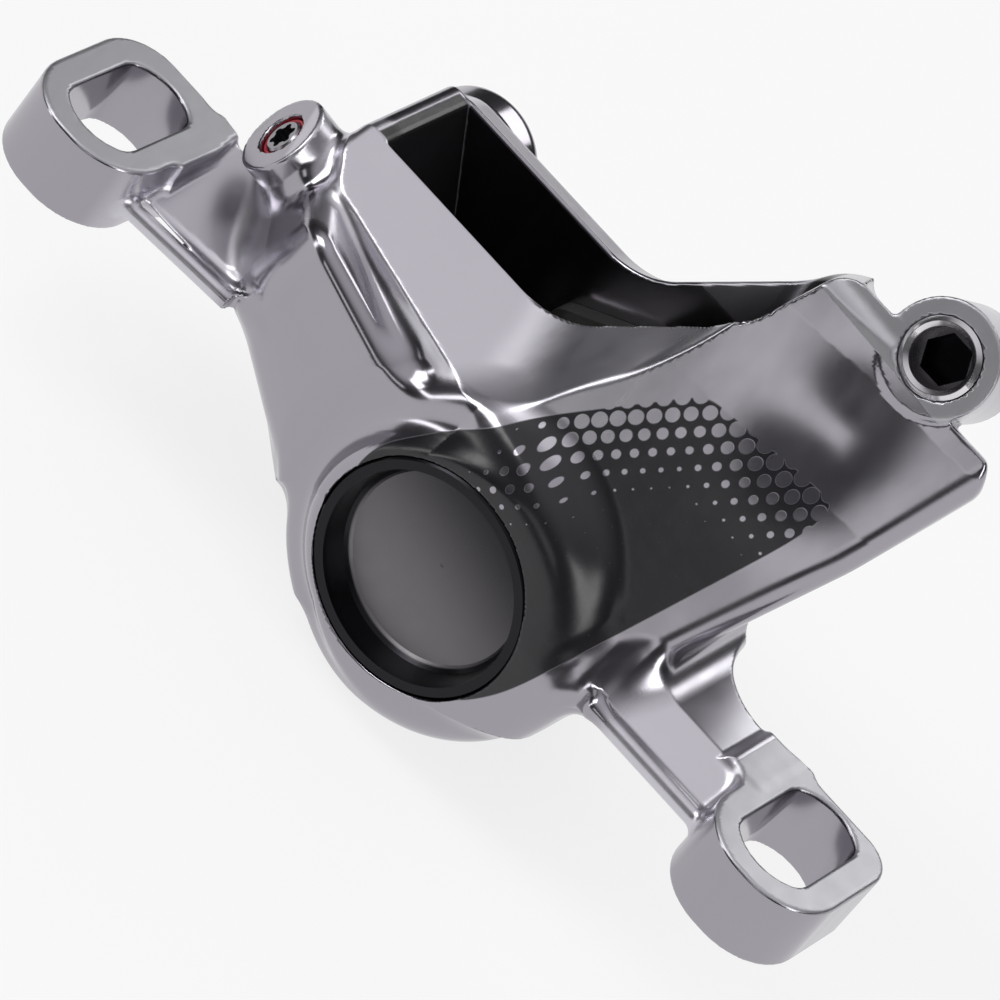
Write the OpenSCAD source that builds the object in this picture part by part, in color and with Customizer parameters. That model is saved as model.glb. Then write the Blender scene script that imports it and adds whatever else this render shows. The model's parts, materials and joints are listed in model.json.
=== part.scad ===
/* [Post mount] */
// Distance between the two post bolts
post_spacing = 74; // [70:0.5:78]
// Thickness of the lugs along the bolts
lug_t = 6.5; // [5.5:0.1:8]
// Width of the bolt slots, clearance for M6
slot_w = 6.6; // [6.2:0.1:7]
// End to end length of the bolt slots
slot_len = 11; // [9:0.5:12]
// Radius of the slot ends
slot_end_r = 4; // [3.6:0.1:4.6]
// Distance from the bolt axes to the outer side of the lugs
lug_front = 7.8; // [7.2:0.1:9]
// Corner radius of the lugs
lug_corner = 5.5; // [4:0.1:5.6]
// Distance from a bolt axis to the flat end of its lug
lug_end = 5.9; // [5.6:0.1:7]
// Distance from the bolt axes to the rotor side of the left lug
lug_back_left = 7.7; // [7:0.1:7.8]
// Distance from the bolt axes to the rotor side of the right lug
lug_back_right = 6.3; // [6:0.1:7.6]

/* [Rotor and pads] */
// Distance from the bolt axes to the middle of the rotor
rotor_y = 13.5; // [13:0.1:15]
// Radius of the rotor that the caliper is made for
rotor_r = 80; // [70:1:90]
// Thickness of the rotor
rotor_t = 1.8; // [1.6:0.05:2]
// Distance from the edge of the rotor to the piston axis
piston_depth = 8; // [7:0.1:9]
// Angle between the pad's way out and the bolt axes
pad_tilt = 29.5; // [25:0.5:34]
// Width of the pad pocket along the rotor axis
pocket_w = 11; // [10.6:0.1:11.6]
// Width of a pad's back plate
pad_w = 28.4; // [26:0.2:29]
// Thickness of a back plate
plate_t = 1.7; // [1.4:0.1:1.9]
// Running gap between the friction block and the rotor
running_gap = 0.35; // [0.2:0.05:0.5]
// Height of the friction block
friction_h = 15.5; // [14:0.5:17]
// Diameter of the pad pin
pin_d = 3; // [2.6:0.1:3.2]
// Distance between the friction block and the pad pin
pin_gap = 3.4; // [3.2:0.1:4]

/* [Hydraulics] */
// Place of the piston axis along the line of the bolts
bore_x = 3.8; // [2:0.1:5]
// Height of the piston axis above the lug seats
bore_z = -0.3; // [-1:0.1:1]
// Diameter of the pistons
piston_d = 16; // [15:0.1:16.2]
// Length of the pistons
piston_len = 5.9; // [5:0.1:6.2]
// Radial running clearance of a piston
piston_fit = 0.04; // [0.02:0.01:0.08]
// Diameter of the bore cap's flange
cap_d = 18.6; // [18.4:0.1:19.4]
// Depth of the cup in the bore cap
cap_depth = 3.3; // [2.4:0.1:3.5]
// Distance from the bolt axes to the outer face of the bore cap
cap_y = -4; // [-4.6:0.1:-3.6]
// Outer radius of the piston housings
housing_r = 13.5; // [12.8:0.1:14.5]
// Diameter of the bleed port screw
bleed_d = 6.2; // [5.6:0.1:6.6]
// Width across flats of the bleed screw's socket
bleed_hex = 3.5; // [3:0.5:3.5]
// Tilt of the bleed port from the rotor axis
bleed_tilt = 27; // [20:1:34]
// Diameter of the hose port thread
hose_d = 6; // [5.4:0.1:6.4]

/* [Body] */
// Height of the level rim of the pad opening
rim_z = 15.9; // [15.4:0.1:17]
// Rise of the sloping rim
rim_slope = 48.6; // [44:0.2:52]
// Left end of the pad opening
open_left = -22.6; // [-23.4:0.1:-21.8]
// Right end of the pad opening
open_right = 8.6; // [7.8:0.1:9]
// Thickness of the inner side's top wall
inner_wall = 4.2; // [3.6:0.1:5]
// Slope of the plate beside the opening
plate_slope = 25; // [20:1:30]

/* [Hidden] */
$fn = 48;

// Small distances: cutters run past a face by the overrun, seated pieces keep the play
eps = 1;
back_gap = 0.05;
play = 0.05;
ring_play = 0.02;

// Pad pocket and rotor, along the rotor axis
pocket_y0 = rotor_y - pocket_w / 2;
pocket_y1 = rotor_y + pocket_w / 2;
friction_t = (pocket_w - rotor_t) / 2 - plate_t - running_gap - back_gap;
rotor_slot_t = rotor_t + 1.6;
rotor_slot_r = rotor_r + 1.5;
piston_radius = rotor_r - piston_depth;
rotor_x = bore_x + piston_radius * sin(pad_tilt);
rotor_z = bore_z - piston_radius * cos(pad_tilt);

// Pads, with heights measured from the piston axis towards the rim
pad_y = pocket_y0 + back_gap;
friction_top = piston_depth - 0.8;
pin_h = friction_top + pin_gap + pin_d / 2;
plate_top = friction_top + 1.6;
plate_bottom = friction_top - friction_h - 0.8;
tab_w = 8.4;
tab_top = pin_h + 2.2;
pin_r = pin_d / 2;
pin_hole_r = pin_r + 0.15;
pocket_play = 0.15;
pocket_half = pad_w / 2 + pocket_play;

// Pistons, from the pad backwards
piston_r = piston_d / 2;
bore_r = piston_r + piston_fit;
shield_t = 0.6;
piston_front = pad_y - shield_t;
piston_back = piston_front - piston_len;
piston_wall = 3;
piston_floor = 1.5;
chamber = 0.6;
seal_r = bore_r + 1.3;
seal_w = 1.9;
seal_y = pocket_y0 - 2.8;
groove_play = 0.05;

// Bore cap, its thread and its O-ring
cap_r = cap_d / 2;
thread_r = cap_r - 0.4;
cap_flange_t = 1.8;
cap_back = piston_back - chamber;
cap_lip = 0.9;
cap_dish = 0.7;
ring_r = 0.5;
cap_ring_y = cap_back - 0.8;
cap_ring_groove = 1;
face_r = cap_r + 1.3;
housing_round = 3;

// Pad pin, screwed in from the inner side, and the snap clip outside its head
pin_tip = 2.6;
pin_fit = 0.03;
pin_thread_r = pin_r + 0.5;
pin_head_r = 2.5;
pin_head_t = 1.6;
pin_hex = 2.5;
pin_boss_r = 4;
pin_boss_len = 5.4;
pin_boss_y = pocket_y1 + pin_boss_len;
pin_y = pocket_y0 - pin_tip;
clip_t = 0.5;
clip_r = pin_head_r + 0.5;
clip_y = pin_boss_y - clip_t - 0.4;
pin_head_y = clip_y - pin_head_t - play;

// Bleed port, on the sloping right shoulder
bleed_pos = [19.2, 13, 35.2];
bleed_r = bleed_d / 2;
bleed_len = 6.6;
bleed_proud = 0.3;
bleed_boss_r = 4.5;
bleed_ring_z = -4.6;
bleed_cup_r = bleed_r - 0.75;
bleed_cup_depth = 2.6;
bleed_way = [0, -cos(bleed_tilt), sin(bleed_tilt)];
step_depth = 0.15;
step_pos = bleed_pos + [-5.6, -1.3, -2.54];
step_way = [0.06, 0.454, 0.89];

// Plug of the cross passage, on the left shoulder
plug_pos = [-27.9, 4.8, 11.5];
plug_dir = [-0.75, -0.49, 0.43];
plug_r = 1.85;
plug_len = 4.2;
plug_boss_r = 3.65;
star_r = 1.1;

// Hose port on the inner side, in line with the cross passage
hose_x = -21.2;
hose_z = 8;
hose_r = hose_d / 2;
hose_len = 8;
hose_boss_r = 5.4;
inner_face = 2 * rotor_y - piston_back + chamber + 2.6;
hose_face = inner_face - 1;
passage_r = 0.8;

// A closed outline whose corners are rounded, each corner being [x, y, radius]
function unit(v) = v / norm(v);
function corner(a, b, c, r, n) =
    let (u = unit(a - b), v = unit(c - b), half = acos(u * v) / 2,
         d = r / tan(half), centre = b + unit(u + v) * r / sin(half),
         p = b + u * d - centre, q = b + v * d - centre)
    [for (k = [0:n]) centre + unit(p * (1 - k / n) + q * k / n) * r];
function xy(p) = [p[0], p[1]];
function rounded(pts, n = 6) =
    let (m = len(pts))
    [for (i = [0:m - 1]) each
        pts[i][2] == 0 ? [xy(pts[i])]
        : corner(xy(pts[(i + m - 1) % m]), xy(pts[i]), xy(pts[(i + 1) % m]), pts[i][2], n)];

// Extrudes an outline drawn in X and Z from y0 to y1
module along_y(y0, y1) {
    translate([0, y1, 0]) rotate([90, 0, 0]) linear_extrude(y1 - y0) children();
}

// Round bar or drilling along the rotor axis, from y0 to y1
module bar(r, y0, y1, sides = 48) {
    translate([0, y0, 0]) rotate([-90, 0, 0]) cylinder(r = r, h = y1 - y0, $fn = sides);
}

// Places children drawn around Z on the piston axis, with Z becoming +Y from y0
module on_bore(y0) {
    translate([bore_x, y0, bore_z]) rotate([-90, 0, 0]) children();
}

// Mirrors a piece of the outer side to the inner side of the rotor
module to_inner() {
    translate([0, 2 * rotor_y, 0]) mirror([0, 1, 0]) children();
}

// Pad frame: X across the pad, Z towards the rim, with the origin on the piston axis
module pad_frame() {
    translate([bore_x, 0, bore_z]) rotate([0, -pad_tilt, 0]) children();
}

// Turns Z into the given direction
module aim(v) {
    rotate([0, acos(v[2] / norm(v)), atan2(v[1], v[0])]) children();
}

// Half space on the far side of a plane through p with normal v
module beyond(p, v, size = 120) {
    translate(p) aim(v) translate([-size / 2, -size / 2, 0]) cube(size);
}

// Outline of the body seen along the rotor axis
rise = tan(rim_slope);
crest_x = open_right + 1.8;
knee_x = -3.2;
knee_r = 8;
inner_r = housing_r - 1.6;
crest_y = pocket_y0 + 3;
open_top = rim_z + (open_right - knee_x) * rise;
crest_z = open_top + 6.8;
shell_r = housing_r - 0.6;
low_r = housing_r - 2.8;
function on_housing(a, r) = [bore_x + r * cos(a), bore_z + r * sin(a), 0];
body_outline = rounded([
    [-24.3, rim_z, 2.5], [knee_x, rim_z, knee_r], [open_right, open_top, 2],
    [crest_x, crest_z - 2, 1.5], [crest_x + 1.6, crest_z, 1.5], [bleed_pos[0] - 5, crest_z, 1],
    [bleed_pos[0] - 4, crest_z - 3.5, 0], [25, 31.3, 0.8], [28.3, 31.2, 1.5],
    [27, 25.5, 4], [22.8, 12.5, 8], [20, 4, 4], on_housing(-18, shell_r),
    on_housing(-45, low_r), on_housing(-75, low_r), on_housing(-105, low_r),
    on_housing(-124, shell_r), [-24.3, 2, 5]]);
inner_outline = rounded([
    [-24, rim_z, 2.5], [knee_x, rim_z, knee_r], [crest_x, crest_z - 6, 1.5],
    [crest_x + 3, crest_z - 6.8, 2], [24.2, 22, 5], [20.2, 8, 6],
    for (a = [-15:-30:-135]) on_housing(a, inner_r), [-23, 5, 4]]);

shell_y = -4.2;
shell_lap = 0.6;
inner_way = [0, 0.35, 1];
crest_way = [0, 0.55, 0.83];
panel_way = [0.1, -0.88, 0.45];
edge_pos = [19.65, -1.64, 5.12];
edge_way = [1.04, -0.886, 0.112];
wall_pos = [-14.73, 1.64, 0];
wall_way = [-0.186, -0.983, 0];

// Plate in front of the opening. It follows the rim, and it falls away from the rim the more
// steeply the higher the rim climbs, which twists it into the band below the crest
band_rows = [pocket_y0 + 1, 5, 2, -1, -14];
band_cut_top = 60;
band_drift = 0.35;
band_twist = 0.013;
knee_start = knee_x - knee_r * tan(rim_slope / 2);
knee_end = knee_start + knee_r * sin(rim_slope);
function rim_height(x) =
    x < knee_start ? rim_z
    : x > knee_end ? rim_z + (x - knee_x) * rise
    : rim_z + knee_r - sqrt(knee_r * knee_r - pow(x - knee_start, 2));
function band_fall(x) = tan(plate_slope) + band_twist * pow(max(x + 1, 0), 2);
function on_band(x, y) =
    let (ahead = pocket_y0 - y)
    [x + band_drift * ahead, y, rim_height(x) - band_fall(x) * ahead];
module above_band() {
    stations = [-44, -12, each [-8:0.6:crest_x - 0.4]];
    rows = len(band_rows);
    ring = rows + 2;
    points = [for (x = stations) each concat([for (y = band_rows) on_band(x, y)],
        [for (y = [band_rows[rows - 1], band_rows[0]]) [x, y, band_cut_top]])];
    last = ring * (len(stations) - 1);
    sides = [for (i = [0:len(stations) - 2], k = [0:ring - 1])
        let (a = ring * i, b = a + ring, next = (k + 1) % ring)
        each [[a + k, a + next, b + k], [a + next, b + next, b + k]]];
    polyhedron(points, concat([[for (k = [ring - 1:-1:0]) k]], sides,
                              [[for (k = [0:ring - 1]) last + k]]));
}
module body_shell() {
    difference() {
        along_y(shell_y, pocket_y1 + shell_lap) polygon(body_outline);
        above_band();
        // Crest falls towards the inner side
        beyond([crest_x, crest_y, crest_z], crest_way);
        // Slanting panel between the housing and the bleed port, and the bevel below it
        beyond(bleed_pos, panel_way);
        beyond(edge_pos, edge_way);
        // Wall below the plate's left edge
        beyond(wall_pos, wall_way);
    }
    difference() {
        along_y(pocket_y1 - 0.5, pocket_y1 + inner_wall) polygon(inner_outline);
        beyond([0, pocket_y1, rim_z], inner_way);
    }
}

// Spur on the left: a cone from the plug boss to the housing with a flat face, leaving a groove
// between its ridge and the plate's wall
spur_from = plug_pos + [3.4, -3.2, 0.5];
spur_to = [bore_x - 8.6, 1.1, bore_z - 2.5];
spur_r = 5.7;
spur_taper = 0.24;
// Its flat face, its ridge and its end, each as a point and the way that it faces
spur_cuts = [[[-14.6, -3, 4.6], [0.1, -0.96, 0.13]],
             [[-12.5, -2.1, 11.2], [0.26, 0.37, 0.92]],
             [[-22.3, -1, 5], [-0.75, -0.49, 0.15]]];
module spur() {
    difference() {
        translate(spur_from) aim(spur_to - spur_from)
            cylinder(r1 = spur_r, r2 = spur_r + spur_taper, h = norm(spur_to - spur_from) - 1, $fn = 72);
        for (cut = spur_cuts) beyond(cut[0], cut[1]);
    }
}

module housing(y_face, y_end, r) {
    on_bore(y_face) rotate_extrude($fn = 96)
        polygon(rounded([[0, 0, 0], [face_r, 0, 0.4], [r, housing_round, 1.6], [r, y_end - y_face, 0],
                         [0, y_end - y_face, 0]]));
}

// Lug seen along its bolt, centred on the bolt axis, with the body towards +X
module lug_outline(back) {
    polygon(rounded([[-lug_end, -lug_front, lug_corner], [lug_end - 0.2, -lug_front, lug_corner],
                     [lug_end - 0.2, 0, 2], [lug_end + 3, 0.6, 0], [lug_end + 3, back, 0],
                     [-lug_end, back, back - 3.4]]));
}

module bolt_slot() {
    intersection() {
        square([slot_w, slot_len + 1], center = true);
        union() {
            for (s = [-1, 1])
                translate([0, s * (slot_len / 2 - slot_end_r)]) circle(slot_end_r, $fn = 64);
            square([2 * slot_end_r, slot_len - 2 * slot_end_r], center = true);
        }
    }
}

// Arms in section: the left one is a panel that slopes to the front rib, the right one has a
// level top behind its panel, and both are undercut
arm_front = -3.6;
arm_top = lug_t - 0.4;
rib_r = 0.8;
left_rib_z = 3;
right_rib_z = 3.7;
left_section = [[lug_back_left, 0], [lug_back_left, arm_top - 0.2], [arm_front + 0.6, left_rib_z + 0.3],
                [arm_front, left_rib_z - 0.8], [2.8, 0]];
web_back = rotor_y - 1.5;
web_x = 22.1;
web_r = 6.5;
right_section = [[web_back, 0], [web_back, arm_top], [0.6, arm_top],
                 [arm_front + 0.6, right_rib_z + 0.3], [arm_front, right_rib_z - 0.8], [0.8, 0]];
module arm(x0, x1, section) {
    translate([x0, 0, 0]) rotate([90, 0, 90]) linear_extrude(x1 - x0) polygon(section);
}

module rib(a, b) {
    translate(a) aim(b - a) cylinder(r = rib_r, h = norm(b - a), $fn = 24);
}

module lugs_and_arms() {
    reach = post_spacing / 2 - lug_end + 1.5;
    translate([-post_spacing / 2, 0, 0]) linear_extrude(lug_t) lug_outline(lug_back_left);
    translate([post_spacing / 2, 0, 0])
        mirror([1, 0, 0]) linear_extrude(lug_t) lug_outline(lug_back_right);
    left_rib_start = [-reach, arm_front - 0.6, left_rib_z];
    left_rib_end = [-21.2, arm_front + 1.3, left_rib_z];
    difference() {
        arm(-reach, -18, left_section);
        beyond(left_rib_start, [left_rib_start[1] - left_rib_end[1],
                                left_rib_start[0] - left_rib_end[0], 0]);
    }
    rib(left_rib_start, left_rib_end);
    rib([15, arm_front, right_rib_z], [reach, arm_front, right_rib_z]);
    // The right arm's web meets the body in a hollow curve
    difference() {
        arm(15, reach, right_section);
        translate([0, 0, -eps]) linear_extrude(lug_t + 2 * eps)
            polygon(rounded([[web_x, web_back + 8, 0], [web_x, lug_back_right, web_r],
                             [reach + 1, lug_back_right, 0], [reach + 1, web_back + 8, 0]]));
    }
}

module bleed_frame() {
    translate(bleed_pos) rotate([90 - bleed_tilt, 0, 0]) children();
}

module plug_frame() {
    translate(plug_pos) aim(plug_dir) children();
}

// Bores for a piston, its seal and the pocket side mouth
module piston_bore(back) {
    on_bore(back) cylinder(r = bore_r, h = pocket_y0 - back + eps, $fn = 96);
    on_bore(seal_y - seal_w / 2 - groove_play)
        cylinder(r = seal_r + groove_play, h = seal_w + 2 * groove_play, $fn = 96);
}

// Point of the pad frame, given across and towards the rim, in X and Z of the part
function pad_xz(u, w) = [bore_x + u * cos(pad_tilt) - w * sin(pad_tilt),
                         bore_z + u * sin(pad_tilt) + w * cos(pad_tilt)];

// Pocket that holds both pads, open at the rim and towards the rotor's hub
module pad_pocket() {
    along_y(pocket_y0, pocket_y1)
        polygon([pad_xz(-pocket_half, -14), pad_xz(pocket_half, -22), pad_xz(pocket_half, 14.5),
                 [open_right, open_top - 3],
                 [open_right, 50], [open_left - 5, 50], [open_left, rim_z + 1]]);
}

// Straight drilling between two points
module drill(a, b, r) {
    translate(a) aim(b - a) cylinder(r = r, h = norm(b - a), $fn = 24);
}

// Passages of the brake fluid
module passages() {
    feed = [hose_x, rotor_y - 7, hose_z];
    drill([hose_x, inner_face, hose_z], [hose_x, feed[1] - 1, hose_z], passage_r);
    drill(plug_pos, plug_pos - unit(plug_dir) * 10, passage_r);
    drill(feed, [bore_x - bore_r + 0.6, cap_back + 0.3, bore_z + 2.2], passage_r);
    drill([hose_x, 2 * rotor_y - cap_back - 0.5, hose_z],
          [bore_x - bore_r + 0.6, 2 * rotor_y - piston_back + chamber / 2, bore_z + 2.2], passage_r);
    drill(bleed_pos - 6 * bleed_way, [bore_x + 6.8, cap_back + 0.3, bore_z + 3.5], passage_r);
}

module pad_pin_bore() {
    pad_frame() translate([0, 0, pin_h]) {
        bar(pin_r + pin_fit, pin_y - play, pin_boss_y);
        bar(pin_thread_r + play, pocket_y1 - eps, pin_boss_y);
        bar(pin_head_r + play, pin_head_y, pin_boss_y + eps);
        bar(clip_r + play, clip_y - play, clip_y + clip_t + play);
    }
}

module caliper_body() {
    color("#8d8a93") difference() {
        union() {
            body_shell();
            spur();
            housing(cap_y, pocket_y0 + 1, housing_r);
            to_inner() housing(2 * rotor_y - inner_face, pocket_y0 + 1, housing_r - 1);
            lugs_and_arms();
            bleed_frame() translate([0, 0, -9]) cylinder(r = bleed_boss_r, h = 9);
            plug_frame() translate([0, 0, -8]) cylinder(r = plug_boss_r, h = 8);
            translate([hose_x, 0, hose_z]) bar(hose_boss_r, pocket_y1, hose_face);
            pad_frame() translate([0, 0, pin_h]) bar(pin_boss_r, pocket_y1, pin_boss_y);
        }
        pad_pocket();
        translate([rotor_x, 0, rotor_z])
            bar(rotor_slot_r, rotor_y - rotor_slot_t / 2, rotor_y + rotor_slot_t / 2, 180);
        piston_bore(cap_back - play);
        to_inner() piston_bore(piston_back - chamber);
        // Thread and flange seat of the bore cap
        on_bore(cap_y - eps) cylinder(r = thread_r + play, h = cap_back - cap_y + eps, $fn = 96);
        on_bore(cap_y - eps) cylinder(r = cap_r + play, h = cap_flange_t + play + eps, $fn = 96);
        passages();
        pad_pin_bore();
        bleed_frame() translate([0, 0, -bleed_len - 0.1])
            cylinder(r = bleed_r + play, h = bleed_len + 2 * eps);
        plug_frame() translate([0, 0, -plug_len - 0.1])
            cylinder(r = plug_r + play, h = plug_len + 2 * eps);
        translate([hose_x, 0, hose_z]) bar(hose_r, hose_face - hose_len, hose_face + eps);
        // Flat face round the bleed port, beyond the step in the panel
        intersection() {
            beyond(bleed_pos - step_depth * bleed_way, bleed_way, 60);
            beyond(step_pos, step_way, 60);
        }
        // Post bolt slots
        for (side = [-1, 1]) translate([side * post_spacing / 2, 0, -eps])
            linear_extrude(lug_t + 2 * eps) bolt_slot();
    }
}

// Threaded cap with a dished cup in its face
module bore_cap() {
    cup_r = cap_r - cap_lip;
    back = cap_back - cap_y;
    ring = cap_ring_y - cap_y;
    half = ring_r + 0.05;
    dish = [for (k = [0:8]) [(cup_r - 0.9) * k / 8, cap_depth - cap_dish * pow(k / 8, 2)]];
    color("#1c1b1e") on_bore(cap_y) rotate_extrude($fn = 96)
        polygon(concat(dish, [[cup_r - 0.4, cap_depth - cap_dish - 0.5], [cup_r - 0.1, 0.4], [cup_r, 0],
            [cap_r - 0.15, 0], [cap_r, 0.15], [cap_r, cap_flange_t], [thread_r, cap_flange_t],
            [thread_r, ring - half], [thread_r - cap_ring_groove, ring - half],
            [thread_r - cap_ring_groove, ring + half], [thread_r, ring + half],
            [thread_r, back], [0, back]]));
}

// O-ring of radius r around Z
module oring(r, wire) {
    rotate_extrude($fn = 64) translate([r, 0]) circle(wire, $fn = 24);
}

module bore_cap_seal() {
    color("#101012") on_bore(cap_ring_y) oring(thread_r + play - ring_r - ring_play / 2, ring_r - 0.01);
}

// Cup that is open towards the pad
module piston() {
    hollow = piston_r - piston_wall;
    color("#b9b6b0") on_bore(piston_back) rotate_extrude($fn = 96)
        polygon([[0, 0], [piston_r - 0.5, 0], [piston_r, 0.5], [piston_r, piston_len - 0.3],
                 [piston_r - 0.3, piston_len], [hollow, piston_len], [hollow, piston_floor],
                 [0, piston_floor]]);
}

module outer_piston() {
    piston();
}

module inner_piston() {
    to_inner() piston();
}

// Square section ring that holds the piston and pulls it back
module piston_seal() {
    color("#2b2320") on_bore(seal_y - seal_w / 2) difference() {
        cylinder(r = seal_r, h = seal_w, $fn = 96);
        translate([0, 0, -eps]) cylinder(r = piston_r + ring_play, h = seal_w + 2 * eps, $fn = 96);
    }
}

module outer_piston_seal() {
    piston_seal();
}

module inner_piston_seal() {
    to_inner() piston_seal();
}

// Heat shield: a disc on the piston's rim, with a stub in its mouth
module insulator() {
    stub_r = piston_r - piston_wall - play;
    rim_r = piston_r - 0.7;
    hole_r = stub_r / 2;
    mouth_r = hole_r + 0.8;
    stub = piston_wall / 2;
    color("#5e5a55") on_bore(piston_front) rotate_extrude($fn = 64)
        polygon([[hole_r, -stub], [stub_r, -stub], [stub_r, 0], [rim_r, 0],
                 [rim_r, 0.75 * shield_t], [rim_r - 0.15, shield_t], [mouth_r, shield_t],
                 [mouth_r, 0.1], [hole_r, 0.1]]);
}

module outer_piston_insulator() {
    insulator();
}

module inner_piston_insulator() {
    to_inner() insulator();
}

// Back plate with shoulders and a tab for the pad pin
plate_outline = rounded([
    [-pad_w / 2, -2, 2], [-pad_w / 2 + 4.5, plate_bottom, 2], [0, plate_bottom - 0.8, 30],
    [pad_w / 2 - 4.5, plate_bottom, 2], [pad_w / 2, -2, 2], [pad_w / 2, plate_top - 3.5, 1.5],
    [pad_w / 2 - 3.5, plate_top, 1.5], [tab_w / 2 + 1, plate_top, 1],
    [tab_w / 2, tab_top, 1.5], [-tab_w / 2, tab_top, 1.5], [-tab_w / 2 - 1, plate_top, 1],
    [-pad_w / 2 + 3.5, plate_top, 1.5], [-pad_w / 2, plate_top - 3.5, 1.5]], 4);

module pad_plate() {
    color("#3a3836") pad_frame() difference() {
        along_y(pad_y, pad_y + plate_t) polygon(plate_outline);
        translate([0, 0, pin_h]) bar(pin_hole_r, pad_y - eps, pad_y + plate_t + eps);
    }
}

module outer_pad_plate() {
    pad_plate();
}

module inner_pad_plate() {
    to_inner() pad_plate();
}

// Friction block, a sector of the rotor's braking band with a dust groove
module pad_friction() {
    y0 = pad_y + plate_t;
    color("#59524a") pad_frame() difference() {
        intersection() {
            along_y(y0, y0 + friction_t)
                polygon([[1 - pad_w / 2, 20], [1 - pad_w / 2, -1.5], [5 - pad_w / 2, -20],
                         [pad_w / 2 - 5, -20], [pad_w / 2 - 1, -1.5], [pad_w / 2 - 1, 20]]);
            translate([0, 0, -piston_radius])
                bar(piston_radius + friction_top, y0 - eps, y0 + friction_t + eps, 180);
        }
        translate([0, 0, -piston_radius])
            bar(piston_radius + friction_top - friction_h, y0 - eps, y0 + friction_t + eps, 180);
        translate([-0.6, y0 + friction_t - 1.2, -40]) cube([1.2, 2, 80]);
    }
}

module outer_pad_friction() {
    pad_friction();
}

module inner_pad_friction() {
    to_inner() pad_friction();
}

// Leaf spring: two legs against the back plates, joined by a bridge over the pin
spring_t = 0.3;
spring_w = 6.4;
spring_bottom = plate_top - 0.4;
module pad_spring() {
    y0 = pad_y + plate_t + play;
    y1 = 2 * rotor_y - y0;
    top = tab_top - 0.3;
    color("#c9c7c2") pad_frame() difference() {
        translate([-spring_w / 2, 0, 0]) rotate([90, 0, 90]) linear_extrude(spring_w)
            polygon([[y0, spring_bottom], [y0 + spring_t, spring_bottom], [y0 + spring_t, top - 1.2],
                     [y0 + 1.2, top - spring_t], [y1 - 1.2, top - spring_t], [y1 - spring_t, top - 1.2],
                     [y1 - spring_t, spring_bottom], [y1, spring_bottom], [y1, top - 1.1],
                     [y1 - 1.1, top], [y0 + 1.1, top], [y0, top - 1.1]]);
        translate([0, 0, pin_h]) bar(pin_hole_r, y0 - eps, y1 + eps);
    }
}

// Socket screw pin: plain shank, short thread and a head in the boss
module pad_pin() {
    chamfer = 0.4;
    color("#8f8d8a") pad_frame() translate([0, pin_y, pin_h]) rotate([-90, 0, 0]) difference() {
        thread = pocket_y1 + 0.3 - pin_y;
        head = pin_head_y - pin_y;
        rotate_extrude()
            polygon([[0, 0], [pin_r - chamfer, 0], [pin_r, chamfer], [pin_r, thread],
                     [pin_thread_r, thread + chamfer], [pin_thread_r, head], [pin_head_r, head],
                     [pin_head_r, head + pin_head_t - chamfer / 2],
                     [pin_head_r - chamfer / 2, head + pin_head_t], [0, head + pin_head_t]]);
        translate([0, 0, head - chamfer]) cylinder(r = pin_hex / sqrt(3), h = pin_head_t + eps, $fn = 6);
    }
}

// Snap ring in the boss, outside the pin's head
module pad_pin_clip() {
    opening = 1.6;
    color("#2e2d2f") pad_frame() translate([0, 0, pin_h]) difference() {
        bar(clip_r, clip_y, clip_y + clip_t);
        bar(clip_r - 1, clip_y - eps, clip_y + clip_t + eps);
        translate([-opening / 2, clip_y - eps, -2 * clip_r]) cube([opening, clip_t + 2 * eps, 2 * clip_r]);
    }
}

// Bleed screw: bright ring, a cup and a hexagon socket below it
module bleed_screw() {
    groove = 0.66;
    color("#cfcdd2") bleed_frame() difference() {
        rotate_extrude($fn = 64)
            polygon([[0, bleed_proud], [bleed_r - 0.35, bleed_proud], [bleed_r, bleed_proud - 0.35],
                     [bleed_r, bleed_ring_z + 0.4], [bleed_r - groove, bleed_ring_z + 0.4],
                     [bleed_r - groove, bleed_ring_z - 0.4], [bleed_r, bleed_ring_z - 0.4],
                     [bleed_r, -bleed_len + 1], [bleed_r - 1.2, -bleed_len], [0, -bleed_len]]);
        translate([0, 0, bleed_proud - bleed_cup_depth]) cylinder(r = bleed_cup_r, h = 4, $fn = 48);
        translate([0, 0, bleed_proud - 0.35])
            cylinder(r1 = bleed_cup_r, r2 = bleed_cup_r + 0.4, h = 0.4, $fn = 48);
        translate([0, 0, -5.2]) cylinder(r = bleed_hex / sqrt(3), h = 4, $fn = 6);
    }
}

module bleed_screw_seal() {
    color("#101012") bleed_frame() translate([0, 0, bleed_ring_z])
        oring(bleed_r + play - 0.34, 0.33);
}

// Plug screw: star socket, and a neck under its rim for the red O-ring
module plug_screw() {
    color("#6f6c72") plug_frame() difference() {
        rotate_extrude()
            polygon([[0, -0.15], [plug_r - 0.5, -0.15], [plug_r - 0.35, -0.3], [plug_r - 0.35, -0.75],
                     [plug_r, -0.9], [plug_r, -plug_len + 0.6], [plug_r - 0.6, -plug_len],
                     [0, -plug_len]]);
        translate([0, 0, -1.9]) {
            cylinder(r = star_r * 0.78, h = 3);
            for (k = [0:5]) rotate(60 * k) translate([star_r * 0.78, 0, 0])
                cylinder(r = star_r * 0.26, h = 3, $fn = 16);
        }
    }
}

module plug_screw_seal() {
    color("#a8242c") plug_frame() translate([0, 0, -0.52]) oring(plug_r - 0.15, 0.17);
}

caliper_body();
bore_cap();
bore_cap_seal();
outer_piston();
outer_piston_seal();
outer_piston_insulator();
inner_piston();
inner_piston_seal();
inner_piston_insulator();
outer_pad_plate();
outer_pad_friction();
inner_pad_plate();
inner_pad_friction();
pad_spring();
pad_pin();
pad_pin_clip();
bleed_screw();
bleed_screw_seal();
plug_screw();
plug_screw_seal();
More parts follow.
